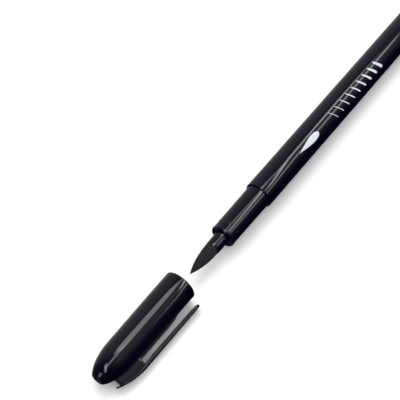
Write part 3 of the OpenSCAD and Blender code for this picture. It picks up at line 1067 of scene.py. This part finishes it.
class BRUSHPEN_OT_camera(bpy.types.Operator):
    """Sets up the camera"""

    bl_idname = "brushpen.camera"
    bl_label = "Camera"

    def execute(self, context):
        studio = settings().studio
        level = math.cos(studio.elevation)
        ahead = Vector((-math.sin(studio.azimuth), math.cos(studio.azimuth), 0.0)) * level
        ahead.z = -math.sin(studio.elevation)
        right = Vector((math.cos(studio.azimuth), math.sin(studio.azimuth), 0.0))
        above = right.cross(ahead)
        place = Vector((RIM_X, 0.0, 0.0)) - ahead * studio.distance
        place -= right * studio.slide_right + above * studio.slide_up
        lens = bpy.data.cameras.new("camera")
        lens.lens = studio.lens
        lens.sensor_width = 36.0
        lens.clip_start = 0.01
        camera = bpy.data.objects.new("camera", lens)
        camera.matrix_world = Matrix.Translation(place) @ ahead.to_track_quat("-Z", "Y").to_matrix().to_4x4()
        context.scene.collection.objects.link(camera)
        context.scene.camera = camera
        return {"FINISHED"}


class BRUSHPEN_OT_stage(bpy.types.Operator):
    """Lays the pale floor and sets the soft studio light"""

    bl_idname = "brushpen.stage"
    bl_label = "Stage"

    # Brightness seen in the gloss at each angle: up the camera's side, over the top and down behind
    BANDS = (
        (-90, 0.004), (-8, 0.008), (4, 0.05), (16, 0.10), (28, 0.20), (44, 0.38), (58, 0.52), (78, 0.46),
        (90, 0.32), (104, 0.22), (112, 0.22), (122, 0.38), (150, 0.42), (185, 0.45), (215, 0.50),
        (250, 0.35), (270, 0.05),
    )
    # The bands fade between these directions along the pen, down to this share of their brightness
    FADE_FROM, FADE_TO, FADED = 0.16, -0.34, 0.12
    # Softboxes seen in the gloss: name, ends of the middle line, width, height and brightness
    STRIPS = (
        ("strip_front", (0.186, -0.360), (0.228, -0.095), 0.040, 0.5, 7.4),
        ("strip_long", (0.203, -0.100), (0.345, 0.045), 0.072, 0.5, 6.2),
        ("strip_low", (0.248, -0.800), (0.403, -0.110), 0.070, 0.5, 4.6),
        ("panel_cap", (-0.030, -0.020), (0.125, 0.080), 0.260, 0.5, 3.6),
        ("strip_side", (-0.480, -0.300), (-0.270, 0.120), 0.090, 0.5, 4.0),
        ("strip_high", (-0.600, -0.100), (0.200, -0.100), 0.220, 1.0, 3.0),
        ("strip_far", (-1.600, 0.000), (-0.700, 0.000), 0.400, 0.6, 2.5),
    )
    FLOOR_SIZE = 3.0
    KEY_PLACE = (0.12, 0.30, 0.75)
    KEY_SIZE = 0.5

    def execute(self, context):
        studio = settings().studio
        floor = added(bpy.ops.mesh.primitive_plane_add, size=self.FLOOR_SIZE, location=(0.0, 0.0, FLOOR_Z))
        named(floor, "floor")
        settle(floor)
        bpy.ops.object.mode_set(mode="EDIT")
        bpy.ops.mesh.subdivide(number_cuts=3)
        bpy.ops.object.mode_set(mode="OBJECT")
        dress(floor, floor_paper())
        floor.visible_glossy = False
        self.key(studio.key)
        for strip in self.STRIPS:
            self.strip(*strip)
        self.sky(context, studio.sky)
        context.scene.view_settings.view_transform = "Standard"
        return {"FINISHED"}

    @staticmethod
    def softbox(name, shape, place, power):
        """An area light that shines down from this place."""
        lamp = bpy.data.lights.new(name, "AREA")
        lamp.shape = shape
        lamp.energy = power
        box = bpy.data.objects.new(name, lamp)
        box.location = place
        bpy.context.scene.collection.objects.link(box)
        return box

    def key(self, power):
        """A round softbox that lights the floor and the pen but isn't seen in the gloss."""
        box = self.softbox("softbox_key", "DISK", self.KEY_PLACE, power)
        box.data.size = self.KEY_SIZE
        box.rotation_euler = (-Vector(self.KEY_PLACE)).to_track_quat("-Z", "Y").to_euler()
        box.visible_glossy = False

    def strip(self, name, start, end, width, height, level):
        """A flat softbox overhead that only the gloss shows."""
        run = Vector(end) - Vector(start)
        middle = (Vector(start) + Vector(end)) / 2
        power = level * math.pi * run.length * width
        box = self.softbox(name, "RECTANGLE", (middle.x, middle.y, height), power)
        box.data.size = run.length
        box.data.size_y = width
        box.rotation_euler = (0.0, 0.0, math.atan2(run.y, run.x))
        box.visible_diffuse = False

    def sky(self, context, strength):
        """Even pale light everywhere, with long soft bands that only the gloss shows."""
        world = context.scene.world or bpy.data.worlds.new("studio")
        context.scene.world = world
        world.use_nodes = True
        world.node_tree.nodes.clear()
        add, link = world.node_tree.nodes.new, world.node_tree.links.new
        output = add("ShaderNodeOutputWorld")
        mix = add("ShaderNodeMixShader")
        rays = add("ShaderNodeLightPath")
        plain = add("ShaderNodeBackground")
        plain.inputs["Color"].default_value = (0.99, 0.995, 1.0, 1.0)
        plain.inputs["Strength"].default_value = strength
        banded = add("ShaderNodeBackground")
        coordinates = add("ShaderNodeTexCoord")
        parts = add("ShaderNodeSeparateXYZ")
        link(coordinates.outputs["Generated"], parts.inputs[0])

        def maths(operation, first, second):
            node = add("ShaderNodeMath")
            node.operation = operation
            for socket, value in zip(node.inputs, (first, second)):
                if isinstance(value, (int, float)):
                    socket.default_value = value
                else:
                    link(value, socket)
            return node.outputs[0]

        near = maths("MULTIPLY", parts.outputs["Y"], -1.0)
        turn = maths("ARCTAN2", parts.outputs["Z"], near)
        from_below = maths("ADD", turn, math.pi / 2)
        wrapped = maths("FLOORED_MODULO", from_below, 2 * math.pi)
        share = maths("DIVIDE", wrapped, 2 * math.pi)
        ramp = add("ShaderNodeValToRGB")
        ramp.color_ramp.interpolation = "EASE"
        brightest = max(level for _, level in self.BANDS)
        elements = ramp.color_ramp.elements
        while len(elements) < len(self.BANDS):
            elements.new(0.5)
        for element, (degrees, level) in zip(elements, self.BANDS):
            element.position = (degrees + 90) / 360
            grey = level / brightest
            element.color = (grey, grey, grey, 1.0)
        link(share, ramp.inputs[0])
        link(ramp.outputs[0], banded.inputs["Color"])
        ends = add("ShaderNodeMapRange")
        ends.interpolation_type = "SMOOTHSTEP"
        ends.inputs["From Min"].default_value = self.FADE_TO
        ends.inputs["From Max"].default_value = self.FADE_FROM
        ends.inputs["To Min"].default_value = self.FADED * brightest
        ends.inputs["To Max"].default_value = brightest
        link(parts.outputs["X"], ends.inputs["Value"])
        link(ends.outputs[0], banded.inputs["Strength"])
        link(rays.outputs["Is Glossy Ray"], mix.inputs[0])
        link(plain.outputs[0], mix.inputs[1])
        link(banded.outputs[0], mix.inputs[2])
        link(mix.outputs[0], output.inputs["Surface"])


class BRUSHPEN_PT_bench(bpy.types.Panel):
    """Lists the pieces of the pen"""

    bl_idname = "BRUSHPEN_PT_bench"
    bl_label = "Brush Pen"
    bl_space_type = "VIEW_3D"
    bl_region_type = "UI"
    bl_category = "Brush Pen"

    def draw(self, context):
        for step in STEPS:
            self.layout.operator(step.bl_idname)
        for group in ("barrel", "section", "brush", "cap", "clip", "marks", "finishes", "studio"):
            box = self.layout.box()
            box.label(text=group.title())
            part = getattr(context.scene.brush_pen, group)
            for name in part.bl_rna.properties.keys():
                if name not in ("rna_type", "name"):
                    box.prop(part, name)


STEPS = (
    BRUSHPEN_OT_camera,
    BRUSHPEN_OT_ink_store,
    BRUSHPEN_OT_barrel,
    BRUSHPEN_OT_end_plug,
    BRUSHPEN_OT_section,
    BRUSHPEN_OT_nose,
    BRUSHPEN_OT_brush,
    BRUSHPEN_OT_print,
    BRUSHPEN_OT_cap,
    BRUSHPEN_OT_liner,
    BRUSHPEN_OT_foot,
    BRUSHPEN_OT_clip,
    BRUSHPEN_OT_stage,
)
GROUPS = (
    BarrelSizes, SectionSizes, BrushSizes, CapSizes, ClipSizes, PrintSizes, Finishes, StudioSettings,
    BrushPenSettings,
)
CLASSES = GROUPS + STEPS + (BRUSHPEN_PT_bench,)


def register():
    for part in CLASSES:
        bpy.utils.register_class(part)
    bpy.types.Scene.brush_pen = bpy.props.PointerProperty(type=BrushPenSettings)


def unregister():
    del bpy.types.Scene.brush_pen
    for part in reversed(CLASSES):
        bpy.utils.unregister_class(part)


def main():
    register()
    for step in STEPS:
        group, name = step.bl_idname.split(".")
        getattr(getattr(bpy.ops, group), name)()


if __name__ == "__main__":
    main()
